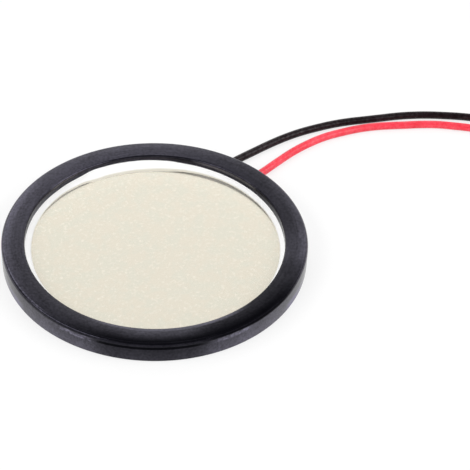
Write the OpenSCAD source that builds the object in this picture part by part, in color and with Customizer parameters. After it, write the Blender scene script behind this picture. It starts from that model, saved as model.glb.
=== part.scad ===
// Piezo element: a thin metal diaphragm with a ceramic disc, bonded into a moulded ring, with two leads.
// Millimetres, +Z up. The origin is in the middle of the ring's underside.

/* [Mounting ring] */
// Width of the ring, from its opening to its outer wall
ring_w = 3.1; // [1.5:0.1:6]
// Height of the ring, at the crown of its top face
ring_h = 3.1; // [2.8:0.1:5]
// Radius of the gently domed top face
crown_r = 10; // [3:0.5:20]
// From the ring's outer wall to the crown of its top face
crown_in = 1.15; // [0.7:0.05:1.2]
// Rounding of the outer top edge
outer_round = 0.4; // [0.1:0.05:0.8]
// Rounding of the inner top edge
inner_round = 0.25; // [0.1:0.05:0.6]
// Bevel of the two bottom edges
foot_bevel = 0.15; // [0.05:0.05:0.4]
// Width of the shelf that carries the plate's rim
shelf_w = 1; // [0.5:0.1:2]

/* [Diaphragm plate] */
// Diameter of the plate
plate_d = 35; // [25:0.5:50]
// Thickness of the plate
plate_t = 0.2; // [0.1:0.05:0.4]
// Gap between the plate's edge and the ring
plate_clearance = 0.1; // [0.05:0.05:0.3]

/* [Ceramic disc] */
// Bare rim of the plate, outside the ceramic
ceramic_rim = 5; // [4:0.1:7]
// Thickness of the ceramic
ceramic_t = 0.2; // [0.1:0.05:0.3]
// Bare rim of the ceramic, outside its electrode
electrode_margin = 1; // [0.5:0.1:2]
// Thickness of the fired silver electrode
electrode_t = 0.02; // [0.01:0.01:0.05]

/* [Adhesive bead] */
// Reach of the bead over the plate, from the ring's wall
bead_w = 0.85; // [0.5:0.05:1.4]
// Height of the bead up the ring's wall
bead_h = 0.6; // [0.3:0.05:1]
// How far the bead's face is hollowed
bead_hollow = 0.07; // [0.02:0.01:0.15]

/* [Leads] */
// Diameter over the insulation
lead_d = 1.15; // [0.9:0.05:1.4]
// Diameter of the stranded conductor
conductor_d = 0.3; // [0.2:0.05:0.5]
// Room above a lead, under the plate
lead_headroom = 0.1; // [0.05:0.05:0.3]
// Room on each side of a lead in its notch
notch_clearance = 0.1; // [0.05:0.05:0.3]
// From the end of the insulation to the shelf or to the ceramic
end_gap = 1; // [0.5:0.1:1.5]
// Length of the tinned free ends
tinned_l = 5; // [2:0.5:10]

/* [Solder joints] */
// Diameter of a joint
solder_d = 1.8; // [1.2:0.1:2.4]
// Height of a joint
solder_h = 0.45; // [0.35:0.05:0.6]
// Electrode left bare outside the red joint
joint_edge = 0.4; // [0.2:0.1:2]
// Solder between a conductor and the face that it is joined to
joint_gap = 0.05; // [0.02:0.01:0.1]

/* [Hidden] */
$fn = 96;

// Radii and levels
plate_r = plate_d / 2;
opening_r = plate_r + plate_clearance;
ring_r = opening_r + ring_w;
shelf_r = opening_r - shelf_w;
ceramic_r = plate_r - ceramic_rim;
electrode_r = ceramic_r - electrode_margin;
shelf_h = lead_d + lead_headroom;
plate_top = shelf_h + plate_t;
ceramic_bottom = shelf_h - ceramic_t;
electrode_bottom = ceramic_bottom - electrode_t;
lead_z = lead_d / 2;

// The dome of the ring's top face: its centre, and its slope where it runs into each rounded edge
crown = [ring_r - crown_in, ring_h - crown_r];
outer_slope = asin((ring_r - outer_round - crown.x) / (crown_r - outer_round));
inner_slope = asin((crown.x - opening_r - inner_round) / (crown_r - inner_round));

// How far a cut runs past the faces that it opens
overcut = 1;
// Steps of an arc in an outline
arc_steps = 8;

// Where each lead leaves the ring's wall, as an angle round the ring, and the direction that it takes there
black_exit = 61.5;
black_aim = 38;
red_exit = 48;
red_aim = 47;
// Middle line of each lead on the table, from the point where it leaves the ring's wall
black_run = [
    [0, 0], [2.2, 1.8], [4.4, 3.5], [6.9, 5.4], [9.4, 7.1], [11.9, 8.5], [14.4, 9.6], [16.8, 10.5],
    [19.3, 11.2], [21.8, 11.7], [24.3, 12.2], [26.8, 12.7], [29.3, 13], [31.8, 13.1], [34.2, 13],
    [36.7, 12.8], [39.2, 12.4], [41.6, 11.9], [44, 11.2], [46.4, 10.4], [48.7, 9.5], [51, 8.5],
    [53.3, 7.4], [55.5, 6.2], [57.7, 5], [59.9, 3.8]
];
red_run = [
    [0, 0], [2, 2], [3.9, 4], [6.4, 6.5], [9, 8.6], [11.5, 10.2], [14, 11.3], [16.5, 12.2], [19, 12.8],
    [21.4, 13.1], [23.9, 13.3], [26.3, 13.5], [28.8, 13.5], [31.2, 13.2], [33.6, 12.8], [36, 12.2],
    [38.4, 11.5], [40.7, 10.7], [43, 9.7], [45.2, 8.6], [47.4, 7.4], [49.5, 6.1], [51.6, 4.7],
    [53.6, 3.3], [55.6, 1.8]
];
// Middle line of each lead from the end of its insulation under the plate
black_route = lead_route(black_exit, black_aim, shelf_r - end_gap, black_run);
red_route = lead_route(red_exit, red_aim, ceramic_r + end_gap, red_run);
// Sides of a swept tube
tube_sides = 8;

// Middle of each solder joint, in line with its lead, on the face that it hangs from
black_joint = at_level(inside(black_exit, black_aim, (shelf_r + ceramic_r) / 2), shelf_h);
red_joint = at_level(inside(red_exit, red_aim, electrode_r - joint_edge - solder_d / 2), electrode_bottom);
// Length of conductor that leaves the insulation straight
stub_l = 0.5;

// A point at a radius and an angle
function around(radius, angle) = radius * [cos(angle), sin(angle)];

// A point of the plan, at a height
function at_level(point, level) = [point.x, point.y, level];

// Where a lead's line, drawn back from its exit into the ring, comes to a radius
function inside(exit, aim, radius) =
    let (start = around(ring_r, exit), along = around(1, aim), reach = start * along)
    start + (sqrt(reach * reach - start * start + radius * radius) - reach) * along;

// A lead's middle line: straight through the ring from where the insulation ends, then its run
function lead_route(exit, aim, end_r, run) =
    concat([inside(exit, aim, end_r)], [for (step = run) around(ring_r, exit) + step]);

function unit(v) = v / norm(v);

// Middle line of a lead that lies on the table
function on_table(route) = [for (point = route) at_level(point, lead_z)];

// Direction of a line at one of its points, from the neighbours on both sides
function heading(line, i) = unit(line[min(i + 1, len(line) - 1)] - line[max(i - 1, 0)]);

// Corners of a tube's section at one point of its middle line
function section(line, i, diameter) =
    let (along = heading(line, i), side = unit(cross(along, [0, 0, 1])), up = cross(side, along))
    [for (k = [0 : tube_sides - 1])
        let (turn = 360 * (k + 0.5) / tube_sides)
        line[i] + diameter / 2 * (cos(turn) * side + sin(turn) * up)];

// Points of an arc in an outline, up to the one where the next line starts
function arc(centre, radius, from, to) =
    [for (k = [0 : arc_steps - 1])
        let (turn = from + (to - from) * k / arc_steps)
        centre + radius * [cos(turn), sin(turn)]];

// Where a stripped conductor bends towards its joint
function knee(route) =
    let (line = on_table(route))
    line[0] - stub_l * heading(line, 0);

// Where a conductor ends inside its joint
function tip(middle) = middle - [0, 0, joint_gap + conductor_d / 2];

// A round rod from one point to another
module rod(from, to, diameter) {
    way = to - from;
    translate(from)
        rotate([0, acos(way.z / norm(way)), atan2(way.y, way.x)])
            cylinder(d = diameter, h = norm(way));
}

// One tube swept along a line
module tube(line, diameter) {
    rings = len(line);
    corners = [for (i = [0 : rings - 1]) each section(line, i, diameter)];
    first_cap = [for (k = [0 : tube_sides - 1]) k];
    last_cap = [for (k = [tube_sides - 1 : -1 : 0]) (rings - 1) * tube_sides + k];
    walls = [for (i = [0 : rings - 2], k = [0 : tube_sides - 1])
        let (near = i * tube_sides, far = near + tube_sides, next = (k + 1) % tube_sides)
        each [[near + k, far + k, near + next], [near + next, far + k, far + next]]];
    polyhedron(corners, concat([first_cap, last_cap], walls), convexity = 10);
}

// The ring's section: a wall with a domed top, and a shelf at its foot
module ring_profile() {
    outer_turn = 90 - outer_slope;
    inner_turn = 90 + inner_slope;
    outer_centre = crown + (crown_r - outer_round) * [cos(outer_turn), sin(outer_turn)];
    inner_centre = crown + (crown_r - inner_round) * [cos(inner_turn), sin(inner_turn)];
    polygon(concat(
        [[shelf_r, foot_bevel], [shelf_r + foot_bevel, 0]],
        [[ring_r - foot_bevel, 0], [ring_r, foot_bevel]],
        arc(outer_centre, outer_round, 0, outer_turn),
        arc(crown, crown_r, outer_turn, inner_turn),
        arc(inner_centre, inner_round, inner_turn, 180),
        [[opening_r, inner_centre.y], [opening_r, shelf_h], [shelf_r, shelf_h]]
    ));
}

// The way of one lead through the ring's foot, straight on from the end of its insulation
module lead_notch(route, aim) {
    width = lead_d + 2 * notch_clearance;
    translate(at_level(route[0], -overcut))
        rotate([0, 0, aim])
            translate([0, -width / 2, 0])
                cube([ring_r, width, shelf_h + notch_clearance + overcut]);
}

module mounting_ring() {
    color([0.13, 0.13, 0.15])
        difference() {
            rotate_extrude($fn = 180)
                ring_profile();
            lead_notch(black_route, black_aim);
            lead_notch(red_route, red_aim);
        }
}

module diaphragm_plate() {
    color([0.84, 0.8, 0.7])
        translate([0, 0, shelf_h])
            cylinder(r = plate_r, h = plate_t, $fn = 180);
}

// White fillet on the plate's rim, which also fills the gap round the plate's edge
module adhesive_bead() {
    foot = [opening_r - bead_w, plate_top];
    head = [opening_r, plate_top + bead_h];
    inward = unit([bead_h, -bead_w]);
    face = [for (k = [0 : arc_steps])
        let (share = k / arc_steps)
        head + (foot - head) * share + inward * bead_hollow * sin(180 * share)];
    color("white")
        rotate_extrude($fn = 180)
            polygon(concat(face, [[plate_r, plate_top], [plate_r, shelf_h], [opening_r, shelf_h]]));
}

module ceramic_disc() {
    color([0.86, 0.8, 0.68])
        translate([0, 0, ceramic_bottom])
            cylinder(r = ceramic_r, h = ceramic_t);
}

module silver_electrode() {
    color([0.82, 0.82, 0.8])
        translate([0, 0, electrode_bottom])
            cylinder(r = electrode_r, h = electrode_t);
}

// A domed joint that hangs from the face at its middle, cast round the end of a conductor
module solder_joint(middle, route) {
    dome_r = (solder_d * solder_d / 4 + solder_h * solder_h) / (2 * solder_h);
    color([0.75, 0.75, 0.76])
        difference() {
            translate([middle.x, middle.y, middle.z - solder_h + dome_r])
                sphere(dome_r);
            translate([middle.x, middle.y, middle.z + dome_r])
                cube(2 * dome_r, center = true);
            rod(knee(route), tip(middle), conductor_d);
        }
}

module black_solder_joint() {
    solder_joint(black_joint, black_route);
}

module red_solder_joint() {
    solder_joint(red_joint, red_route);
}

// The stripped conductor, from the insulation's end to the middle of its joint
module inner_end(middle, route) {
    color([0.8, 0.78, 0.74])
        tube([on_table(route)[0], knee(route), tip(middle)], conductor_d);
}

module black_inner_end() {
    inner_end(black_joint, black_route);
}

module red_inner_end() {
    inner_end(red_joint, red_route);
}

module black_lead() {
    color([0.12, 0.11, 0.12])
        tube(on_table(black_route), lead_d);
}

module red_lead() {
    color([0.95, 0.2, 0.26])
        tube(on_table(red_route), lead_d);
}

// Half the section of a tinned end, with its domed tip
module tinned_profile() {
    straight_l = tinned_l - conductor_d / 2;
    square([conductor_d / 2, straight_l]);
    intersection() {
        translate([0, straight_l])
            circle(d = conductor_d);
        square([conductor_d, tinned_l]);
    }
}

// The stripped and tinned free end, straight on from the insulation
module tinned_end(route) {
    line = on_table(route);
    last = len(line) - 1;
    along = heading(line, last);
    color([0.78, 0.78, 0.79])
        translate(line[last])
            rotate([0, 90, atan2(along.y, along.x)])
                rotate_extrude()
                    tinned_profile();
}

module black_tinned_end() {
    tinned_end(black_route);
}

module red_tinned_end() {
    tinned_end(red_route);
}

mounting_ring();
diaphragm_plate();
adhesive_bead();
ceramic_disc();
silver_electrode();
black_solder_joint();
red_solder_joint();
black_inner_end();
red_inner_end();
black_lead();
red_lead();
black_tinned_end();
red_tinned_end();
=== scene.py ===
"""Looks of a piezo element: a thin metal diaphragm in a moulded black ring, with a red and a black lead.

Metres, +Z up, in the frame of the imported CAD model.
"""
import math

import bmesh
import bpy
from mathutils import Matrix, Quaternion, Vector, noise


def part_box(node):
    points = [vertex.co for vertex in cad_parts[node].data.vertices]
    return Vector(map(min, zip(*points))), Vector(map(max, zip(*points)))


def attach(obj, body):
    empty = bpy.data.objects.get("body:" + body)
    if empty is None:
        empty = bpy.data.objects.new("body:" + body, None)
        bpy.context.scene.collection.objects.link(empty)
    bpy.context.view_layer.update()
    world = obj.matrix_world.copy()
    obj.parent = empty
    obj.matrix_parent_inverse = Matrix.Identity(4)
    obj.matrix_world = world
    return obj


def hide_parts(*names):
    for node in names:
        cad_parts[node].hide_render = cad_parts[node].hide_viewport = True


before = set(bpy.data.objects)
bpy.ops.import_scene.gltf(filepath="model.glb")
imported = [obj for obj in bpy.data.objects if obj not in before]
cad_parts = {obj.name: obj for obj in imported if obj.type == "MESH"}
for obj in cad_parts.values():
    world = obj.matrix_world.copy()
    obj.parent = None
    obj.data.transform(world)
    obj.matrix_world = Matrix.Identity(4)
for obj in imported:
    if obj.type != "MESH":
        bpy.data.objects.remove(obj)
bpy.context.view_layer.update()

MM = 0.001
MICRON = 0.001 * MM
BODY = "root"

# Sizes that the CAD boxes give
ring_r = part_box("mounting_ring")[1].x
ring_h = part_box("mounting_ring")[1].z
opening_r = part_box("adhesive_bead")[1].x
plate_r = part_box("diaphragm_plate")[1].x
plate_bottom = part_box("diaphragm_plate")[0].z
plate_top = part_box("diaphragm_plate")[1].z
ceramic_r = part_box("ceramic_disc")[1].x
ceramic_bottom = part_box("ceramic_disc")[0].z
electrode_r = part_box("silver_electrode")[1].x
electrode_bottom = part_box("silver_electrode")[0].z

# Sizes that part.scad names
CROWN_R = 10 * MM
CROWN_IN = 1.15 * MM
OUTER_ROUND = 0.4 * MM
INNER_ROUND = 0.25 * MM
FOOT_BEVEL = 0.15 * MM
SHELF_W = 1 * MM
NOTCH_CLEARANCE = 0.1 * MM
LEAD_R = 0.575 * MM
END_GAP = 1 * MM
CONDUCTOR_R = 0.15 * MM
TINNED_L = 5 * MM
SOLDER_R = 0.9 * MM
SOLDER_H = 0.45 * MM
JOINT_EDGE = 0.4 * MM
JOINT_GAP = 0.05 * MM
STUB_L = 0.5 * MM

# Angle at which each lead leaves the ring's wall, its direction there, and its run from that point, in mm
BLACK_EXIT = 61.5
BLACK_AIM = 38
RED_EXIT = 48
RED_AIM = 47
BLACK_RUN = [
    (0, 0), (2.2, 1.8), (4.4, 3.5), (6.9, 5.4), (9.4, 7.1), (11.9, 8.5), (14.4, 9.6), (16.8, 10.5),
    (19.3, 11.2), (21.8, 11.7), (24.3, 12.2), (26.8, 12.7), (29.3, 13), (31.8, 13.1), (34.2, 13),
    (36.7, 12.8), (39.2, 12.4), (41.6, 11.9), (44, 11.2), (46.4, 10.4), (48.7, 9.5), (51, 8.5),
    (53.3, 7.4), (55.5, 6.2), (57.7, 5), (59.9, 3.8),
]
RED_RUN = [
    (0, 0), (2, 2), (3.9, 4), (6.4, 6.5), (9, 8.6), (11.5, 10.2), (14, 11.3), (16.5, 12.2), (19, 12.8),
    (21.4, 13.1), (23.9, 13.3), (26.3, 13.5), (28.8, 13.5), (31.2, 13.2), (33.6, 12.8), (36, 12.2),
    (38.4, 11.5), (40.7, 10.7), (43, 9.7), (45.2, 8.6), (47.4, 7.4), (49.5, 6.1), (51.6, 4.7),
    (53.6, 3.3), (55.6, 1.8),
]

shelf_r = opening_r - SHELF_W
shelf_h = plate_bottom
shoulder_r = ring_r - OUTER_ROUND

# How far the plate's middle is domed up by the ceramic bonded to it
DOME_H = 0.1 * MM
# Attribute that says where the bead is thin
THIN = "thin"

# Steps round the ring, and steps of one arc in a section
ROUND_STEPS = 288
ARC_STEPS = 12
# Angle in degrees past which an edge between two faces looks sharp
SHARP = 35

# Strands of a bare conductor: their number, the length of one twist, and steps along and round one of them
STRANDS = 7
TWIST_L = 2.4 * MM
STRAND_STEPS = 48
STRAND_SIDES = 8


# Shapes
def around(radius, angle, level=0.0):
    """A point at a radius, an angle in degrees and a height."""
    turn = math.radians(angle)
    return Vector((radius * math.cos(turn), radius * math.sin(turn), level))


def inside(exit_angle, aim, radius, level):
    """Where a lead's line, drawn back from its exit into the ring, comes to a radius."""
    start = around(ring_r, exit_angle)
    along = around(1, aim)
    reach = start.dot(along)
    point = start + (math.sqrt(reach * reach - start.length_squared + radius * radius) - reach) * along
    return Vector((point.x, point.y, level))


def lead_line(exit_angle, aim, end_r, run):
    """A lead's middle line, from where its insulation ends under the plate to its free end."""
    start = around(ring_r, exit_angle)
    inner = inside(exit_angle, aim, end_r, LEAD_R)
    middle = (inner + Vector((start.x, start.y, LEAD_R))) / 2
    return [inner, middle] + [Vector((start.x + x * MM, start.y + y * MM, LEAD_R)) for x, y in run]


def arc(centre, radius, start, end, steps=ARC_STEPS):
    """Points of an arc in a section, angles in degrees."""
    turns = [math.radians(start + (end - start) * k / steps) for k in range(steps + 1)]
    return [(centre[0] + radius * math.cos(t), centre[1] + radius * math.sin(t)) for t in turns]


def loops_round(bm, section_at):
    """Vertices of a section at each step round the axis."""
    angles = [360 * k / ROUND_STEPS for k in range(ROUND_STEPS)]
    return [[bm.verts.new(around(r, angle, z)) for r, z in section_at(angle)] for angle in angles]


def lathe(section_at):
    """A closed ring swept round the axis.

    section_at(angle in degrees) gives its closed section, as pairs of a radius and a height.
    """
    bm = bmesh.new()
    loops = loops_round(bm, section_at)
    count = len(loops[0])
    for near, far in zip(loops, loops[1:] + loops[:1]):
        for i in range(count):
            j = (i + 1) % count
            bm.faces.new((near[i], far[i], far[j], near[j]))
    bmesh.ops.recalc_face_normals(bm, faces=bm.faces)
    return bm


def disc(section_at):
    """A closed disc swept round the axis.

    section_at(angle in degrees) gives its section, from the middle of its top to the middle of its bottom.
    """
    bm = bmesh.new()
    loops = loops_round(bm, lambda angle: section_at(angle)[1:-1])
    top = bm.verts.new((0, 0, section_at(0)[0][1]))
    bottom = bm.verts.new((0, 0, section_at(0)[-1][1]))
    for near, far in zip(loops, loops[1:] + loops[:1]):
        bm.faces.new((top, near[0], far[0]))
        for i in range(len(near) - 1):
            bm.faces.new((near[i], near[i + 1], far[i + 1], far[i]))
        bm.faces.new((bottom, far[-1], near[-1]))
    bmesh.ops.recalc_face_normals(bm, faces=bm.faces)
    return bm


def sweep(bm, line, radius, sides):
    """Adds a closed tube along a line of points. radius(share of the way) gives its radius."""
    last = len(line) - 1
    side = Vector((0, 0, 1)).cross(line[1] - line[0]).normalized()
    loops = []
    for i, point in enumerate(line):
        along = (line[min(i + 1, last)] - line[max(i - 1, 0)]).normalized()
        side = (side - along * side.dot(along)).normalized()
        up = along.cross(side)
        reach = radius(i / last)
        turns = [2 * math.pi * k / sides for k in range(sides)]
        loops.append([bm.verts.new(point + reach * (math.cos(t) * side + math.sin(t) * up)) for t in turns])
    for near, far in zip(loops, loops[1:]):
        for k in range(sides):
            j = (k + 1) % sides
            bm.faces.new((near[k], near[j], far[j], far[k]))
    bm.faces.new(list(reversed(loops[0])))
    bm.faces.new(loops[-1])


def strands(line, ragged):
    """Twisted strands of a conductor along a line, with rounded ends that lie up to ragged apart."""
    bm = bmesh.new()
    strand_r = CONDUCTOR_R / 3
    # A tip's least share of that radius, how the steps crowd towards the tip, and how unlike the ends are
    tip_share = 0.05
    crowding = 1.6
    unlike = 2.3
    lengths = [(b - a).length for a, b in zip(line, line[1:])]
    total = sum(lengths)

    def place(distance):
        """A point at a distance along the line, and the line's direction there."""
        for a, b, length in zip(line, line[1:], lengths):
            if distance <= length:
                return a.lerp(b, distance / length), (b - a).normalized()
            distance -= length
        return line[-1], (line[-1] - line[-2]).normalized()

    def rounded(share):
        """A strand's radius at a share of its way, which falls off at its end."""
        left = min(1.0, (1 - share) * total / strand_r)
        return strand_r * max(tip_share, math.sqrt(1 - (1 - left) ** 2))

    for k in range(STRANDS):
        off = 0 if k == 0 else 2 * strand_r
        end = total - ragged * (1 + math.sin(unlike * k)) / 2
        way = []
        for i in range(STRAND_STEPS + 1):
            share = i / STRAND_STEPS
            point, along = place(end * (1 - (1 - share) ** crowding))
            side = Vector((0, 0, 1)).cross(along).normalized()
            up = along.cross(side)
            turn = 2 * math.pi * (k / (STRANDS - 1) + end * share / TWIST_L)
            way.append(point + off * (math.cos(turn) * side + math.sin(turn) * up))
        sweep(bm, way, rounded, STRAND_SIDES)
    bmesh.ops.recalc_face_normals(bm, faces=bm.faces)
    return bm


def piece(name, bm, material, slot, *nodes, sharp=SHARP):
    """Makes a piece of a bmesh, which rides on the body and stands for CAD nodes."""
    mesh = bpy.data.meshes.new(name)
    bm.to_mesh(mesh)
    bm.free()
    mesh.shade_smooth()
    mesh.set_sharp_from_angle(angle=math.radians(sharp))
    mesh.materials.append(material)
    made = bpy.data.objects.new(name, mesh)
    bpy.context.scene.collection.objects.link(made)
    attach(made, BODY)
    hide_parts(*nodes)
    return made


# Materials
def connect(tree, given, socket):
    """Links an output to a socket, or sets the socket to a plain value."""
    if isinstance(given, bpy.types.NodeSocket):
        tree.links.new(given, socket)
    else:
        socket.default_value = given


def calculate(tree, operation, *inputs):
    """A number worked out from outputs and plain numbers."""
    node = tree.nodes.new("ShaderNodeMath")
    node.operation = operation
    for given, socket in zip(inputs, node.inputs):
        connect(tree, given, socket)
    return node.outputs[0]


def rgba(colour):
    """What a colour socket takes, from three shares or from one grey."""
    return (*colour, 1) if isinstance(colour, tuple) else (colour, colour, colour, 1)


def colour_ramp(tree, value, stops):
    """A colour or a grey that follows a value. Each stop is a place on the way and its colour or grey."""
    node = tree.nodes.new("ShaderNodeValToRGB")
    elements = node.color_ramp.elements
    while len(elements) < len(stops):
        elements.new(0.5)
    for element, (place, colour) in zip(elements, stops):
        element.position = place
        element.color = rgba(colour)
    connect(tree, value, node.inputs["Fac"])
    return node.outputs["Color"]


def blend(tree, kind, share, first, second):
    """Two colours or greys put together by a kind of blend, for a share of it."""
    node = tree.nodes.new("ShaderNodeMix")
    node.data_type = "RGBA"
    node.blend_type = kind
    for given, name in ((share, "Factor"), (first, "A"), (second, "B")):
        connect(tree, given, node.inputs[name])
    return node.outputs["Result"]


class Nodes:
    """A material's node tree, with short calls for the nodes that the materials share."""

    def __init__(self, name):
        self.material = bpy.data.materials.new(name)
        self.material.use_nodes = True
        self.tree = self.material.node_tree
        self.shader = self.tree.nodes["Principled BSDF"]
        self.place = self.tree.nodes.new("ShaderNodeTexCoord").outputs["Object"]

    def set(self, **values):
        """Sets sockets of the shader, with _ for a space in a socket's name."""
        for name, value in values.items():
            self.shader.inputs[name.replace("_", " ")].default_value = value

    def link(self, output, name):
        """Links an output to one of the shader's sockets."""
        self.tree.links.new(output, self.shader.inputs[name])

    def noise(self, scale, detail=3.0, roughness=0.5, stretch=(1, 1, 1), place=None):
        """Noise with a scale in features per metre, at the piece's own place or at another vector."""
        node = self.tree.nodes.new("ShaderNodeTexNoise")
        node.inputs["Scale"].default_value = scale
        node.inputs["Detail"].default_value = detail
        node.inputs["Roughness"].default_value = roughness
        connect(self.tree, self.vector("MULTIPLY", place or self.place, stretch), node.inputs["Vector"])
        return node.outputs["Fac"]

    def ramp(self, value, low, high, start=0.3, end=0.7):
        """A colour or a grey between low and high, as a value goes from start to end."""
        return colour_ramp(self.tree, value, [(start, low), (end, high)])

    def between(self, value, start, end, low, high):
        """A value that eases from low to high as another goes from start to end."""
        node = self.tree.nodes.new("ShaderNodeMapRange")
        node.interpolation_type = "SMOOTHSTEP"
        sockets = ("Value", "From Min", "From Max", "To Min", "To Max")
        for name, given in zip(sockets, (value, start, end, low, high)):
            connect(self.tree, given, node.inputs[name])
        return node.outputs["Result"]

    def vector(self, operation, *inputs):
        """A vector operation on outputs and plain vectors."""
        node = self.tree.nodes.new("ShaderNodeVectorMath")
        node.operation = operation
        for given, socket in zip(inputs, node.inputs):
            connect(self.tree, given, socket)
        return node.outputs["Value" if operation in ("DOT_PRODUCT", "LENGTH") else "Vector"]

    def product(self, *values):
        """The product of some values."""
        result = values[0]
        for value in values[1:]:
            result = calculate(self.tree, "MULTIPLY", result, value)
        return result

    def factor(self, share, full):
        """A factor that goes from 1 to its full value as a share goes from 0 to 1."""
        return calculate(self.tree, "MULTIPLY_ADD", share, full - 1, 1)

    def mix(self, share, low, high):
        """A colour or grey output, mixed by a share with another output, a plain colour or a grey."""
        second = high if isinstance(high, bpy.types.NodeSocket) else rgba(high)
        return blend(self.tree, "MIX", share, low, second)

    def bump(self, *layers):
        """Bumps, as pairs of a height's output and its depth in metres."""
        normal = None
        for height, depth in layers:
            node = self.tree.nodes.new("ShaderNodeBump")
            node.inputs["Distance"].default_value = depth
            self.tree.links.new(height, node.inputs["Height"])
            if normal:
                self.tree.links.new(normal, node.inputs["Normal"])
            normal = node.outputs["Normal"]
        self.link(normal, "Normal")


# Angles round the ring, in degrees: its right, and the side that faces the camera
RIGHT_AT = 0
CAMERA_AT = 270
# Where its top has a painted sheen, painted shade over its whole width, most painted shade along its outer
# edge, and even gloss at the front
PAINTED_SHEEN_AT = 125
PAINTED_DARK_AT = 308
EDGE_AT = 288
FRONT_AT = 276
# Where its top has a painted highlight patch and a painted shade patch
HIGHLIGHT_PATCH_AT = 353
SHADE_PATCH_AT = 337
# Where its outer wall has the most painted shade, its shoulder has a painted highlight line, and the wall of
# its opening has the most painted shade
WALL_SHADE_AT = 268
HIGHLIGHT_LINE_AT = 204
OPENING_SHADE_AT = 187

# Heights on the outer wall: where its painted reflection fades, where its painted bright foot ends, its
# painted dark line, painted glints and shoulder
FADE_H = (0.3 * MM, 2.2 * MM)
FOOT_H = (0.8 * MM, 1.6 * MM)
LINE_H = (2.2 * MM, 2.5 * MM)
GLINT_H = (2.1 * MM, 2.5 * MM)
SHOULDER_H = (2.45 * MM, 2.65 * MM)
# Radii on top: where the front's edge takes painted shade, where its lip's painted highlight stops, where the
# sides take painted highlights
FRONT_EDGE = (opening_r + 0.9 * MM, shoulder_r)
FRONT_LIP = (opening_r + 0.45 * MM, opening_r + 0.8 * MM)
SIDE_EDGE = (shoulder_r - 1.4 * MM, shoulder_r)
# Radii at which the top gives way to the outer wall, and the opening's wall to the top
OUTSIDE = (shoulder_r, shoulder_r + 0.1 * MM)
OPENING = (opening_r + 0.02 * MM, opening_r + 0.12 * MM)
# Radii of the painted highlight line on the shoulder
HIGHLIGHT_LINE_R = (shoulder_r + 0.02 * MM, shoulder_r + 0.14 * MM)
# Radius of the circle on which the streaks' noise is read: small, so that they are drawn out round the ring
STREAK_R = 0.8 * MM


class RingNodes(Nodes):
    """The ring's node tree, which knows the height, the radius and the heading of a place on the ring."""

    def __init__(self, name):
        super().__init__(name)
        self.height = self.vector("DOT_PRODUCT", self.place, (0, 0, 1))
        self.plan = self.vector("MULTIPLY", self.place, (1, 1, 0))
        self.radius = self.vector("LENGTH", self.plan)
        self.heading = self.vector("NORMALIZE", self.plan)
        right = self.cosine(RIGHT_AT)
        self.sideways = self.product(right, right)

    def cosine(self, angle):
        """Cosine of how far a place's heading is off an angle round the ring."""
        return self.vector("DOT_PRODUCT", self.heading, around(1, angle))

    def facing(self, angle, start, end, low=0, high=1):
        """A value that eases from low to high as the cosine off an angle goes from start to end."""
        return self.between(self.cosine(angle), start, end, low, high)

    def band(self, value, start, end, ease):
        """A share of 1 where a value lies between start and end, which eases off past them."""
        rising = self.between(value, start - ease, start, 0, 1)
        return self.product(rising, self.between(value, end, end + ease, 1, 0))


def top_gloss(n):
    """Gloss on top of the ring, with painted reflections: a painted sheen at the back left, painted shade
    right of the front and along its edge.
    """
    # Painted sheen: gloss raised towards the back left, evened out at the front
    painted_sheen = n.facing(PAINTED_SHEEN_AT, 0.05, 1, 0.52, 1.2)
    painted_sheen = n.mix(n.facing(FRONT_AT, 0.93, 0.985), painted_sheen, 0.8)
    # Painted shade: gloss lowered over the top's whole width right of the front
    painted_dark = n.facing(PAINTED_DARK_AT, 0.88, 0.97, 1, 0.4)
    # Painted shade along the outer edge at the front, painted highlights along it at the sides
    front_edge = n.product(n.between(n.radius, *FRONT_EDGE, 0, 1), n.facing(EDGE_AT, 0.4, 0.9))
    side_edge = n.product(n.between(n.sideways, 0.5, 0.95, 0, 1), n.between(n.radius, *SIDE_EDGE, 0, 1))
    # A painted highlight patch and a painted shade patch on the top's right
    highlight_patch = n.facing(HIGHLIGHT_PATCH_AT, 0.975, 0.998, 1, 1.45)
    shade_patch = n.facing(SHADE_PATCH_AT, 0.98, 0.998, 1, 0.7)
    edges = n.product(n.factor(front_edge, 0.03), n.factor(side_edge, 2))
    gloss = n.product(painted_sheen, painted_dark, edges, highlight_patch, shade_patch)
    # Painted highlight along the front of the opening's lip
    front_lip = n.product(n.between(n.radius, *FRONT_LIP, 1, 0), n.facing(FRONT_AT, 0.78, 0.95))
    return n.mix(front_lip, gloss, 1.6)


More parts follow.
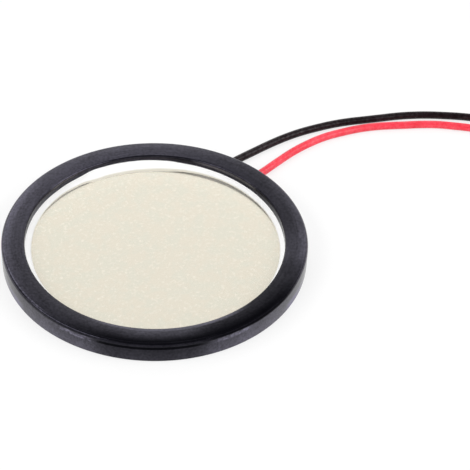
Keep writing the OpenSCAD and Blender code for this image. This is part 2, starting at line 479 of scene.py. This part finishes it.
def wall_gloss(n):
    """Gloss of the ring's outer wall, with painted reflections: painted shade at the front, a painted dark
    line, a painted bright foot, and broken painted glints beside it.
    """
    # Painted shade: the wall's gloss lowered at the front
    front = n.facing(WALL_SHADE_AT, 0.89, 0.98)
    # Painted dark line across the front of the wall
    line = n.product(front, n.band(n.height, *LINE_H, 0.18 * MM))
    # Painted reflection: a bright foot beside the front
    foot = n.product(n.band(n.cosine(CAMERA_AT), 0.3, 0.48, 0.12), n.between(n.height, *FOOT_H, 1, 0))
    # Painted reflection that fades up the wall, weaker at the sides and stronger towards the camera side
    wall = n.product(n.between(n.height, *FADE_H, 1.25, 0.75), n.facing(CAMERA_AT, 0.2, 0.75, 0.35, 1.65),
                     n.between(front, 0, 1, 1, 0.3), n.between(line, 0, 1, 1, 0.04),
                     n.between(foot, 0, 1, 1, 4))

    # Shoulder between wall and top, in painted highlight and shade: bright at the sides, dim round the front,
    # least where the top has its painted dark stretch
    shoulder = n.product(n.facing(CAMERA_AT, 0.25, 0.65, 1.3, 0.4), n.facing(PAINTED_DARK_AT, 0.85, 0.97, 1, 0.1))
    shoulder = n.mix(front, shoulder, 0.3)
    wall = n.mix(n.between(n.height, *SHOULDER_H, 0, 1), wall, shoulder)

    # Painted glints, broken into ticks, on the wall beside the front
    ticks = n.ramp(n.noise(2200, 3, 0.7), 0.1, 1.0, 0.42, 0.6)
    glints = n.product(n.band(n.sideways, 0.21, 0.29, 0.1), n.facing(CAMERA_AT, 0.7, 0.8),
                       n.band(n.height, *GLINT_H, 0.2 * MM), ticks)
    return n.mix(glints, wall, 4)


def opening_gloss(n):
    """A factor that makes the wall of the ring's opening duller than its top as moulded, and dullest at the
    left as painted shade.
    """
    # Matt as moulded all round, with painted shade where it is dullest at the left
    dull = n.facing(OPENING_SHADE_AT, 0.9, 0.98, 0.6, 0.08)
    return n.mix(n.between(n.radius, *OPENING, 0, 1), dull, 1)


def painted_highlight_line(n):
    """Share of a fine, broken, painted highlight line along the ring's shoulder."""
    broken = n.ramp(n.noise(1600, 3, 0.7), 0.25, 1.0, 0.4, 0.58)
    return n.product(n.band(n.radius, *HIGHLIGHT_LINE_R, 0.1 * MM), n.facing(HIGHLIGHT_LINE_AT, 0.9, 0.97), broken)


def rubbing(n):
    """A factor for blotches, and for fine streaks that run round the ring."""
    blotches = n.ramp(n.noise(3000, 4, 0.65), 0.5, 1.0, 0.36, 0.6)
    tangent = n.vector("CROSS_PRODUCT", (0, 0, 1), n.heading)
    circle = n.vector("MULTIPLY", n.heading, (STREAK_R, STREAK_R, 0))
    polar = n.vector("ADD", circle, n.vector("CROSS_PRODUCT", n.plan, tangent))
    streaks = n.ramp(n.noise(6000, 2, place=polar), 0.75, 1.0, 0.4, 0.6)
    return n.product(blotches, streaks)


def ring_plastic():
    """Moulded black plastic, bluish in its gloss and finely rubbed, with highlights and shade painted into
    its gloss: bright on top and satin outside.
    """
    n = RingNodes("ring_plastic")
    n.set(IOR=1.5, Specular_Tint=(0.79, 0.75, 1, 1))
    n.link(n.ramp(n.noise(260, 4), (0.0018, 0.0018, 0.0028), (0.0032, 0.0032, 0.0046)), "Base Color")
    outside = n.between(n.radius, *OUTSIDE, 0, 1)
    gloss = n.mix(outside, top_gloss(n), wall_gloss(n))
    # Painted highlight line along the left shoulder
    gloss = n.mix(painted_highlight_line(n), gloss, 2.6)
    n.link(n.product(gloss, opening_gloss(n), rubbing(n)), "Specular IOR Level")
    n.link(n.mix(outside, n.ramp(n.noise(700, 5, 0.6), 0.09, 0.17), 0.17), "Roughness")
    n.bump((n.noise(900, 2), 1.5 * MICRON), (n.noise(9000, 2, stretch=(1, 0.25, 1)), 0.4 * MICRON))
    return n.material


def plate_metal():
    """Pale nickel alloy sheet, rolled bright, with a faint grain along its rolling and fine specks."""
    n = Nodes("plate_metal")
    n.set(Metallic=0.75)
    grain = n.noise(5200, 3, 0.6, stretch=(0.12, 1, 1))
    speck = n.noise(2400, 2, 0.7)
    cloud = n.ramp(n.noise(480, 4, 0.6), (0.728, 0.702, 0.598), (0.752, 0.702, 0.592), 0.41, 0.57)
    n.link(n.mix(n.ramp(speck, 0.0, 1.0, 0.55, 0.68), cloud, (0.808, 0.764, 0.652)), "Base Color")
    n.link(n.ramp(grain, 0.1, 0.17), "Roughness")
    n.bump((grain, 0.2 * MICRON), (speck, 0.3 * MICRON))
    return n.material


def silicone():
    """White cured silicone, a little uneven, with the metal's colour showing through where it is thin."""
    n = Nodes("silicone")
    n.set(IOR=1.41)
    thin = n.tree.nodes.new("ShaderNodeAttribute")
    thin.attribute_name = THIN
    white = n.ramp(n.noise(500, 3), (0.94, 0.94, 0.937), (0.97, 0.97, 0.967))
    n.link(n.mix(thin.outputs["Fac"], white, (0.67, 0.635, 0.54)), "Base Color")
    n.link(n.ramp(n.noise(1500, 2), 0.32, 0.42), "Roughness")
    n.bump((n.noise(1200, 2), 8 * MICRON))
    return n.material


def piezo_ceramic():
    """Unglazed beige ceramic with a fine fired grain."""
    n = Nodes("piezo_ceramic")
    n.link(n.ramp(n.noise(3000, 5, 0.7), (0.60, 0.50, 0.34), (0.70, 0.60, 0.43)), "Base Color")
    n.link(n.ramp(n.noise(900, 3), 0.55, 0.7), "Roughness")
    n.bump((n.noise(12000, 3), 3 * MICRON))
    return n.material


def silver():
    """Matt fired silver, with the fine weave that its printing screen leaves."""
    n = Nodes("silver")
    n.set(Metallic=0.75)
    weave = n.tree.nodes.new("ShaderNodeTexChecker")
    weave.inputs["Scale"].default_value = 9000
    n.tree.links.new(n.place, weave.inputs["Vector"])
    n.link(n.ramp(n.noise(700, 5, 0.65), (0.66, 0.65, 0.62), (0.80, 0.79, 0.77)), "Base Color")
    n.link(n.ramp(n.noise(1600, 3), 0.38, 0.52), "Roughness")
    n.bump((weave.outputs["Fac"], 1 * MICRON), (n.noise(6000, 3), 4 * MICRON))
    return n.material


def solder():
    """Bright solder with the faint frosting of a frozen surface."""
    n = Nodes("solder")
    n.set(Metallic=1.0)
    frost = n.noise(4200, 4, 0.6)
    n.link(n.ramp(frost, (0.60, 0.60, 0.61), (0.76, 0.76, 0.77)), "Base Color")
    n.link(n.ramp(frost, 0.16, 0.36), "Roughness")
    n.bump((n.noise(2500, 3), 12 * MICRON))
    return n.material


def tinned_copper():
    """Tinned strands, with copper just showing through in places."""
    n = Nodes("tinned_copper")
    n.set(Metallic=1.0)
    n.link(n.ramp(n.noise(2200, 3), (0.70, 0.56, 0.46), (0.74, 0.73, 0.71), 0.28, 0.42), "Base Color")
    n.link(n.ramp(n.noise(5000, 3), 0.2, 0.36), "Roughness")
    n.bump((n.noise(9000, 2), 3 * MICRON))
    return n.material


def insulation(name, low, high, gloss):
    """Soft PVC in one colour, a little blotched, with a low and uneven sheen."""
    n = Nodes(name)
    n.set(IOR=1.53)
    n.link(n.ramp(n.noise(420, 4), low, high), "Base Color")
    n.link(n.ramp(n.noise(1900, 4, 0.6), 0.7 * gloss, 1.9 * gloss, 0.42, 0.68), "Specular IOR Level")
    n.link(n.ramp(n.noise(1400, 4), 0.3, 0.44), "Roughness")
    n.bump((n.noise(1100, 3), 6 * MICRON), (n.noise(9000, 2), 1.5 * MICRON))
    return n.material


# Camera, fitted to the ring's edges in the photograph
CAMERA_PLACE = Vector((0, -156.23, 139.97)) * MM
CAMERA_AIM = Vector((11.03, 3.77, 0)) * MM
CAMERA_ROLL = 2.955
CAMERA_FOCAL_PX = 1533.5
FRAME_PX = 470
SENSOR_W = 36

camera = bpy.data.objects.new("camera", bpy.data.cameras.new("camera"))
bpy.context.scene.collection.objects.link(camera)
camera.data.sensor_width = SENSOR_W
camera.data.lens = CAMERA_FOCAL_PX / FRAME_PX * SENSOR_W
camera.data.clip_start = 1 * MM
camera.data.clip_end = 10
camera.location = CAMERA_PLACE
camera.rotation_mode = "QUATERNION"
level = (CAMERA_AIM - CAMERA_PLACE).to_track_quat("-Z", "Y")
camera.rotation_quaternion = level @ Quaternion((0, 0, 1), math.radians(CAMERA_ROLL))
bpy.context.scene.camera = camera

# Leads: steps round and along one, how far a bare end starts inside it, and how ragged its strands end
CORD_ROUND = 6
CORD_STEPS = 6
BARE_OVERLAP = 0.2 * MM
OUTER_RAGGED = 0.25 * MM
INNER_RAGGED = 0.05 * MM
strand_metal = tinned_copper()


def lead(colour, material, line):
    """One insulated lead as a bevelled curve, with its twisted, tinned free end."""
    curve = bpy.data.curves.new(colour + "_lead_cord", "CURVE")
    curve.dimensions = "3D"
    curve.bevel_depth = LEAD_R
    curve.bevel_resolution = CORD_ROUND
    curve.resolution_u = CORD_STEPS
    curve.use_fill_caps = True
    spline = curve.splines.new("BEZIER")
    spline.bezier_points.add(len(line) - 1)
    for knot, point in zip(spline.bezier_points, line):
        knot.co = point
        knot.handle_left_type = "AUTO"
        knot.handle_right_type = "AUTO"
    curve.materials.append(material)
    cord = bpy.data.objects.new(colour + "_lead_cord", curve)
    bpy.context.scene.collection.objects.link(cord)
    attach(cord, BODY)
    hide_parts(colour + "_lead")

    along = (line[-1] - line[-2]).normalized()
    bare = [line[-1] - along * BARE_OVERLAP, line[-1] + along * TINNED_L]
    end = piece(colour + "_tinned_strands", strands(bare, OUTER_RAGGED), strand_metal, "tinned_copper",
                colour + "_tinned_end")


black_line = lead_line(BLACK_EXIT, BLACK_AIM, shelf_r - END_GAP, BLACK_RUN)
red_line = lead_line(RED_EXIT, RED_AIM, ceramic_r + END_GAP, RED_RUN)
black_pvc = insulation("black_insulation", (0.004, 0.001, 0.002), (0.01, 0.003, 0.006), 0.2)
red_pvc = insulation("red_insulation", (0.76, 0.02, 0.044), (0.9, 0.05, 0.084), 0.45)
lead("black", black_pvc, black_line)
lead("red", red_pvc, red_line)


# Ring
def ring_section(_angle):
    """The ring's section: a wall with a domed top, and a shelf at its foot."""
    crown = (ring_r - CROWN_IN, ring_h - CROWN_R)
    outer_turn = 90 - math.degrees(math.asin((shoulder_r - crown[0]) / (CROWN_R - OUTER_ROUND)))
    inner_turn = 90 + math.degrees(math.asin((crown[0] - opening_r - INNER_ROUND) / (CROWN_R - INNER_ROUND)))
    outer_centre = arc(crown, CROWN_R - OUTER_ROUND, outer_turn, outer_turn, 1)[0]
    inner_centre = arc(crown, CROWN_R - INNER_ROUND, inner_turn, inner_turn, 1)[0]
    return [
        (shelf_r, FOOT_BEVEL), (shelf_r + FOOT_BEVEL, 0), (ring_r - FOOT_BEVEL, 0), (ring_r, FOOT_BEVEL),
        *arc(outer_centre, OUTER_ROUND, 0, outer_turn)[:-1],
        *arc(crown, CROWN_R, outer_turn, inner_turn)[:-1],
        *arc(inner_centre, INNER_ROUND, inner_turn, 180),
        (opening_r, shelf_h), (shelf_r, shelf_h),
    ]


def cut_notch(ring, line, aim):
    """Cuts one lead's way through the ring's foot."""
    width = 2 * (LEAD_R + NOTCH_CLEARANCE)
    height = shelf_h + NOTCH_CLEARANCE
    depth = 1 * MM
    bm = bmesh.new()
    bmesh.ops.create_cube(bm, size=1, matrix=Matrix.Diagonal((ring_r, width, height + depth, 1)))
    mesh = bpy.data.meshes.new("notch")
    bm.to_mesh(mesh)
    bm.free()
    cutter = bpy.data.objects.new("notch", mesh)
    bpy.context.scene.collection.objects.link(cutter)
    middle = line[0] + around(ring_r / 2, aim)
    cutter.location = (middle.x, middle.y, (height - depth) / 2)
    cutter.rotation_euler.z = math.radians(aim)
    cut = ring.modifiers.new("notch", "BOOLEAN")
    cut.operation = "DIFFERENCE"
    cut.object = cutter
    bpy.context.view_layer.update()
    mesh = bpy.data.meshes.new_from_object(ring.evaluated_get(bpy.context.evaluated_depsgraph_get()))
    ring.modifiers.clear()
    ring.data = mesh
    bpy.data.objects.remove(cutter)


ring = piece("ring_moulding", lathe(ring_section), ring_plastic(), "ring_plastic", "mounting_ring")
cut_notch(ring, black_line, BLACK_AIM)
cut_notch(ring, red_line, RED_AIM)
ring.data.shade_smooth()
ring.data.set_sharp_from_angle(angle=math.radians(SHARP))


# Diaphragm plate
def rise(radius):
    """How far the plate is domed up at a radius: level over the ceramic, and down to its seat at the rim."""
    share = max(0.0, (radius - ceramic_r) / (plate_r - ceramic_r))
    return DOME_H * (1 - share * share)


def plate_section(_angle):
    """The plate's section, with a slightly rounded stamped edge."""
    edge = 0.04 * MM
    edge_steps = 4
    rim_steps = 10
    radii = [share * plate_r for share in (0, 0.02, 0.3, 0.5)]
    radii += [ceramic_r + (plate_r - edge - ceramic_r) * k / rim_steps for k in range(rim_steps)]
    top = [(r, plate_top + rise(r)) for r in radii]
    bottom = [(r, plate_bottom + rise(r)) for r in reversed(radii)]
    rim = arc((plate_r - edge, plate_top - edge), edge, 90, 0, edge_steps)
    foot = arc((plate_r - edge, plate_bottom + edge), edge, 0, -90, edge_steps)
    return top + rim + foot + bottom


piece("plate_sheet", disc(plate_section), plate_metal(), "plate_metal", "diaphragm_plate")

# Adhesive bead by angle: its reach over the plate, the width of its thin edge and its climb, in mm
BEAD_KNOTS = [
    (0, 0.62, 0.06, 0.38), (20, 0.66, 0.08, 0.38), (35, 0.7, 0.1, 0.36), (45, 0.72, 0.14, 0.37),
    (55, 0.74, 0.22, 0.4), (65, 0.78, 0.38, 0.45), (75, 0.86, 0.56, 0.5), (85, 1.05, 0.78, 0.65),
    (95, 1.2, 0.8, 0.73), (106, 1.24, 0.62, 0.73), (120, 1.2, 0.58, 0.72), (130, 0.9, 0.36, 0.42),
    (142, 0.74, 0.2, 0.34), (155, 0.76, 0.1, 0.38), (170, 0.82, 0.06, 0.42), (180, 0.84, 0.06, 0.42),
    (225, 0.74, 0.06, 0.1), (270, 0.8, 0.08, 0.2), (315, 0.6, 0.06, 0.1), (360, 0.62, 0.06, 0.38),
]
# Its face: steps, and how hollow it is as a share of its climb
BEAD_STEPS = 10
BEAD_HOLLOW = 0.12
# Unevenness round it, and the scale of that
BEAD_UNEVEN = 0.05
BEAD_WAVES = 7
# Its thin edge: steps, thickness, and how many times that it sinks on the way, so that it ends in the plate
FILM_STEPS = 3
FILM_T = 0.02 * MM
FILM_SINKS = 1.2
# How thin it looks at each point of its section: face, foot of the face, thin edge, and three points below
BEAD_THIN = [0.0] * (BEAD_STEPS - 1) + [0.15, 0.6] + [1.0] * FILM_STEPS + [0.0] * 3


def bead_sizes(angle):
    """Reach, thin edge and climb at an angle, eased from knot to knot, with a slight unevenness."""
    spot = around(BEAD_WAVES, angle)
    uneven = 1 + BEAD_UNEVEN * (noise.noise(spot) + 0.5 * noise.noise(spot * 4))
    for a, b in zip(BEAD_KNOTS, BEAD_KNOTS[1:]):
        if angle <= b[0]:
            share = (angle - a[0]) / (b[0] - a[0])
            ease = share * share * (3 - 2 * share)
            return [(low + (high - low) * ease) * uneven * MM for low, high in zip(a[1:], b[1:])]


def bead_section(angle):
    """The bead's section: a hollow fillet with a thin edge on the plate, and a lip down the gap round it."""
    reach, thin, climb = bead_sizes(angle)
    foot_r = opening_r - reach
    head = Vector((opening_r, plate_top + climb))
    foot = Vector((foot_r, plate_top + rise(foot_r) + FILM_T))
    inward = Vector((climb, -reach)).normalized()
    section = []
    for k in range(BEAD_STEPS + 1):
        share = k / BEAD_STEPS
        section.append(head.lerp(foot, share) + inward * BEAD_HOLLOW * climb * math.sin(math.pi * share))
    for k in range(1, FILM_STEPS + 1):
        share = k / FILM_STEPS
        r = foot_r - thin * share
        section.append((r, plate_top + rise(r) + FILM_T * (1 - FILM_SINKS * share)))
    return section + [(plate_r, plate_top), (plate_r, plate_bottom), (opening_r, plate_bottom)]


bead = piece("silicone_bead", lathe(bead_section), silicone(), "silicone", "adhesive_bead", sharp=50)
bead.data.attributes.new(THIN, "FLOAT", "POINT").data.foreach_set("value", BEAD_THIN * ROUND_STEPS)


# Ceramic and electrode
def ceramic_section(angle):
    """The ceramic's section, with a slightly rough sawn edge."""
    edge = 0.05 * MM
    edge_steps = 4
    rough = 0.012 * MM
    waves = 40
    reach = ceramic_r - rough * (1 + noise.noise(around(waves, angle)))
    face = ceramic_bottom + DOME_H
    back = plate_bottom + DOME_H
    rim = arc((reach - edge, face + edge), edge, 0, -90, edge_steps)
    return [(0, back), (reach * 0.5, back), (reach, back)] + rim + [(reach * 0.5, face), (0, face)]


def electrode_section(angle):
    """The electrode's section, with the slightly wavy edge of a printed film."""
    wavy = 0.02 * MM
    waves = 30
    slope_w = 0.05 * MM
    spot = around(waves, angle)
    reach = electrode_r - wavy * (1 + noise.noise(spot) + 0.5 * noise.noise(spot * 3))
    shoulder = reach - slope_w
    face = electrode_bottom + DOME_H
    back = ceramic_bottom + DOME_H
    return [(0, back), (reach * 0.5, back), (reach, back), (shoulder, face), (reach * 0.5, face), (0, face)]


piece("ceramic_wafer", disc(ceramic_section), piezo_ceramic(), "piezo_ceramic", "ceramic_disc")
piece("electrode_film", disc(electrode_section), silver(), "silver", "silver_electrode")


# Solder joints and the conductors that run into them
def joint_dome(middle, aim):
    """A blob of solder that hangs from a face, with a thin wetted skirt and a lean along its conductor."""
    bm = bmesh.new()
    steps = 40
    rows = 14
    fullness = 0.9
    lean = 0.04
    # Depth and scale of its lumps, and how unlike the two joints are
    lumps = 0.05
    waves = 1.7
    unlike = 400
    along = around(1, aim)
    loops = []
    for i in range(1, rows + 1):
        share = i / rows
        drop = SOLDER_H * (math.cos(share * math.pi / 2) ** fullness if i < rows else 0)
        loop = []
        for k in range(steps):
            out = around(1, 360 * k / steps)
            lump = lumps * noise.noise(out * waves + middle * unlike)
            swell = 1 + lump - lean * (1 - share) * out.dot(along)
            spot = middle + out * SOLDER_R * share * min(1, swell)
            loop.append(bm.verts.new((spot.x, spot.y, middle.z - drop)))
        loops.append(loop)
    peak = bm.verts.new(middle - Vector((0, 0, SOLDER_H)))
    base = bm.verts.new(middle)
    for k in range(steps):
        j = (k + 1) % steps
        bm.faces.new((peak, loops[0][k], loops[0][j]))
        for near, far in zip(loops, loops[1:]):
            bm.faces.new((near[k], far[k], far[j], near[j]))
        bm.faces.new((base, loops[-1][j], loops[-1][k]))
    bmesh.ops.recalc_face_normals(bm, faces=bm.faces)
    return bm


def joint(colour, exit_angle, aim, radius, level, line, metal):
    """One solder joint, and the bare conductor from the end of the insulation."""
    middle = inside(exit_angle, aim, radius, level + rise(radius))
    knee = line[0] - around(STUB_L, aim)
    tip = middle - Vector((0, 0, JOINT_GAP + CONDUCTOR_R))
    piece(colour + "_solder_blob", joint_dome(middle, aim), metal, "solder", colour + "_solder_joint",
          sharp=60)
    piece(colour + "_inner_strands", strands([line[0], knee, tip], INNER_RAGGED), strand_metal,
          "tinned_copper", colour + "_inner_end")


solder_metal = solder()
joint("black", BLACK_EXIT, BLACK_AIM, (shelf_r + ceramic_r) / 2, shelf_h, black_line, solder_metal)
joint("red", RED_EXIT, RED_AIM, electrode_r - JOINT_EDGE - SOLDER_R, electrode_bottom, red_line, solder_metal)

# Floor: white for the camera and for reflections, with a share of real shading that keeps the object's shadow
FLOOR_SIZE = 3
FLOOR_WHITE = 0.72


def paper():
    """White paper, for the floor."""
    material = bpy.data.materials.new("paper")
    material.use_nodes = True
    tree = material.node_tree
    shaded = tree.nodes["Principled BSDF"]
    shaded.inputs["Base Color"].default_value = rgba(0.9)
    shaded.inputs["Roughness"].default_value = 0.9
    path = tree.nodes.new("ShaderNodeLightPath")
    seen = calculate(tree, "MAXIMUM", path.outputs["Is Camera Ray"], path.outputs["Is Glossy Ray"])
    seen = calculate(tree, "MAXIMUM", seen, path.outputs["Is Transmission Ray"])
    both = tree.nodes.new("ShaderNodeMixShader")
    connect(tree, calculate(tree, "MULTIPLY", seen, FLOOR_WHITE), both.inputs["Fac"])
    connect(tree, shaded.outputs[0], both.inputs[1])
    connect(tree, tree.nodes.new("ShaderNodeEmission").outputs[0], both.inputs[2])
    connect(tree, both.outputs[0], tree.nodes["Material Output"].inputs["Surface"])
    return material


floor_mesh = bpy.data.meshes.new("floor")
half = FLOOR_SIZE / 2
corners = [(-half, -half, 0), (half, -half, 0), (half, half, 0), (-half, half, 0)]
floor_mesh.from_pydata(corners, [], [(0, 1, 2, 3)])
floor_mesh.materials.append(paper())
floor = bpy.data.objects.new("floor", floor_mesh)
bpy.context.scene.collection.objects.link(floor)

# Studio: a room with white walls, low all round and up to the ceiling at the back, and soft boxes
WALL_BY_HEIGHT = [(0, 1.1), (0.3, 1.1), (0.5, 0.12), (1, 0.12)]
BACK_BY_HEIGHT = [(0, 1.15), (0.57, 1.2), (0.67, 1), (0.88, 1), (0.95, 0.3), (1, 0.12)]
BACK_BY_DEPTH = [(0.5, 0), (0.62, 1)]
BACK_BY_SIDE = [(0.45, 1), (0.65, 0)]


def studio():
    """The room, which the camera itself sees as white."""
    world = bpy.data.worlds.new("studio")
    world.use_nodes = True
    tree = world.node_tree
    parts = tree.nodes.new("ShaderNodeSeparateXYZ")
    connect(tree, tree.nodes.new("ShaderNodeTexCoord").outputs["Generated"], parts.inputs[0])
    sideways = calculate(tree, "ABSOLUTE", parts.outputs["X"])
    depth = calculate(tree, "MULTIPLY_ADD", parts.outputs["Y"], 0.5, 0.5)
    height = parts.outputs["Z"]
    back = blend(tree, "MULTIPLY", 1, colour_ramp(tree, depth, BACK_BY_DEPTH),
                 colour_ramp(tree, sideways, BACK_BY_SIDE))
    back = blend(tree, "MULTIPLY", 1, back, colour_ramp(tree, height, BACK_BY_HEIGHT))
    room = blend(tree, "LIGHTEN", 1, back, colour_ramp(tree, height, WALL_BY_HEIGHT))
    path = tree.nodes.new("ShaderNodeLightPath")
    shown = blend(tree, "MIX", path.outputs["Is Camera Ray"], room, rgba(1))
    connect(tree, shown, tree.nodes["Background"].inputs["Color"])
    return world


def soft_box(name, azimuth, elevation, distance, width, height, watts, mirrored=True):
    """A soft box that faces the object. Glossy faces show it if it is mirrored."""
    lamp = bpy.data.lights.new(name, "AREA")
    lamp.shape = "RECTANGLE"
    lamp.size = width
    lamp.size_y = height
    lamp.energy = watts
    box = bpy.data.objects.new(name, lamp)
    bpy.context.scene.collection.objects.link(box)
    turn = math.radians(elevation)
    box.location = distance * (around(math.cos(turn), azimuth) + Vector((0, 0, math.sin(turn))))
    box.rotation_mode = "QUATERNION"
    box.rotation_quaternion = (-box.location).to_track_quat("-Z", "Y")
    box.visible_glossy = mirrored


bpy.context.scene.world = studio()
soft_box("left_box", azimuth=202, elevation=40, distance=0.6, width=0.55, height=0.25, watts=1.9)
soft_box("right_box", azimuth=344, elevation=40, distance=0.6, width=0.5, height=0.25, watts=1.7)
soft_box("top_box", azimuth=270, elevation=86, distance=0.7, width=0.5, height=0.5, watts=1.2, mirrored=False)

bpy.context.scene.view_settings.view_transform = "Standard"
